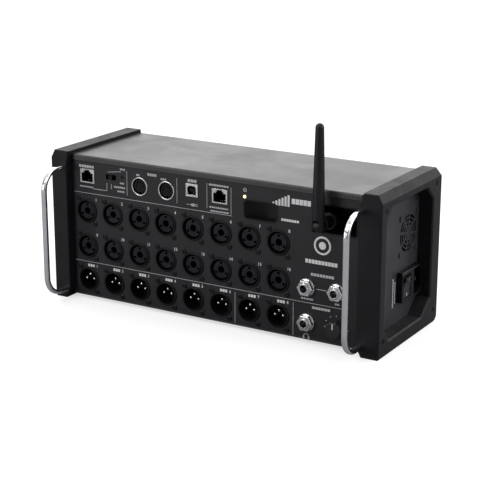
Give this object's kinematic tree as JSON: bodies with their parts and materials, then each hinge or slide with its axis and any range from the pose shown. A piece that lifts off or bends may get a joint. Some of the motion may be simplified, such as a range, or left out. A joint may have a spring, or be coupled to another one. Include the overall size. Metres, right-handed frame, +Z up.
{
  "type": "portable stagebox mixer",
  "caption": "Portable digital stagebox mixer with combo inputs, XLR outputs, chrome bow handles and a folding wireless antenna.",
  "frame": {"origin": "middle of the footprint, on the surface that the bumpers stand on", "axes": "+X to the right seen from the front, +Y from the front to the back, +Z up"},
  "size_m": [0.333, 0.149, 0.194],
  "materials": {
    "chassis_steel": "satin black paint",
    "cover_steel": "satin black powder coat",
    "panel_paint": "matt black paint",
    "bumper_moulding": "fine textured black moulding",
    "bow_chrome": "polished",
    "black_screws": "black oxide",
    "plated_screws": "zinc plated",
    "connector_housing": "moulded black",
    "connector_core": "moulded black",
    "silver_contacts": "silver plated",
    "gold_contacts": "gold plated",
    "jack_nickel": "nickel plated",
    "nut_nickel": "nickel plated",
    "socket_steel": "tin plated",
    "socket_liner": "moulded black",
    "switch_plastic": "moulded black",
    "light_lens": "lit warm white lens",
    "pot_metal": "plated",
    "knob_plastic": "moulded black",
    "well_moulding": "moulded black",
    "aerial_brass": "gold plated",
    "aerial_rubber": "satin black",
    "inlet_plastic": "moulded black",
    "rocker_plastic": "moulded black",
    "fan_plastic": "moulded black",
    "circuit_board": "solder mask",
    "ferrite": "ferrite and tape",
    "capacitor_sleeve": "sleeved can",
    "sink_aluminium": "extruded",
    "radio_can": "tin plated can"
  },
  "bodies": {
    "chassis": {"chassis_tray": "chassis_steel", "fan_screws": "chassis_steel", "top_cover": "cover_steel", "front_panel": "panel_paint", "left_bumper": "bumper_moulding", "right_bumper": "bumper_moulding", "left_handle": "bow_chrome", "right_handle": "bow_chrome", "bumper_screws": "black_screws", "connector_screws": "black_screws", "cover_screws": "black_screws", "handle_screws": "plated_screws", "board_standoffs": "plated_screws", "combo_shells_upper": "connector_housing", "combo_shells_lower": "connector_housing", "output_shells": "connector_housing", "combo_inserts_upper": "connector_core", "combo_inserts_lower": "connector_core", "output_inserts": "connector_core", "output_pins": "silver_contacts", "inlet_pins": "silver_contacts", "port_contacts": "gold_contacts", "line_jack_left": "jack_nickel", "line_jack_right": "jack_nickel", "phones_jack": "jack_nickel", "jack_nuts": "nut_nickel", "midi_rings": "socket_steel", "usb_shell": "socket_steel", "remote_port": "socket_steel", "network_port": "socket_steel", "midi_inserts": "socket_liner", "usb_tongue": "socket_liner", "port_liners": "socket_liner", "mode_switch": "switch_plastic", "reset_switch": "switch_plastic", "power_led": "light_lens", "volume_pot": "pot_metal", "antenna_pocket": "well_moulding", "antenna_rest": "well_moulding", "antenna_jack": "aerial_brass", "power_inlet": "inlet_plastic", "fan_frame": "fan_plastic", "input_board": "circuit_board", "port_board": "circuit_board", "main_board": "circuit_board", "supply_board": "circuit_board", "supply_transformer": "ferrite", "supply_capacitors": "capacitor_sleeve", "supply_heat_sink": "sink_aluminium", "radio_module": "radio_can"},
    "antenna_base": {"antenna_base": "aerial_rubber", "antenna_pin": "aerial_brass"},
    "antenna_rod": {"antenna_rod": "aerial_rubber"},
    "power_rocker": {"power_rocker": "rocker_plastic"},
    "mode_lever": {"mode_lever": "switch_plastic"},
    "reset_button": {"reset_button": "switch_plastic"},
    "volume_knob": {"volume_knob": "knob_plastic", "volume_shaft": "pot_metal"},
    "fan_rotor": {"fan_rotor": "fan_plastic"}
  },
  "joints": [
    {"name": "antenna_swivel", "type": "hinge", "parent": "chassis", "child": "antenna_base", "pos_m": [0.1117, -0.0485, 0.1085], "axis": [0, 1, 0], "range_deg": [-90, 40]},
    {"name": "antenna_elbow", "type": "hinge", "parent": "antenna_base", "child": "antenna_rod", "pos_m": [0.1117, -0.0485, 0.1085], "axis": [1, 0, 0], "range_deg": [0, 90]},
    {"name": "power_rock", "type": "hinge", "parent": "chassis", "child": "power_rocker", "pos_m": [0.1535, 0.028, 0.0438], "axis": [0, 1, 0], "range_deg": [-16, 0]},
    {"name": "mode_slide", "type": "slide", "parent": "chassis", "child": "mode_lever", "axis": [1, 0, 0], "range_m": [-0.003, 0.003]},
    {"name": "reset_press", "type": "slide", "parent": "chassis", "child": "reset_button", "axis": [0, 1, 0], "range_m": [0, 0.001], "stiffness_N_per_m": 250, "springref_m": -0.0004},
    {"name": "volume_turn", "type": "hinge", "parent": "chassis", "child": "volume_knob", "pos_m": [0.1233, -0.039, 0.0182], "axis": [0, 1, 0], "range_deg": [-150, 150]},
    {"name": "fan_spin", "type": "hinge", "parent": "chassis", "child": "fan_rotor", "pos_m": [0.145, 0.038, 0.0878], "axis": [1, 0, 0], "continuous": true}
  ]
}
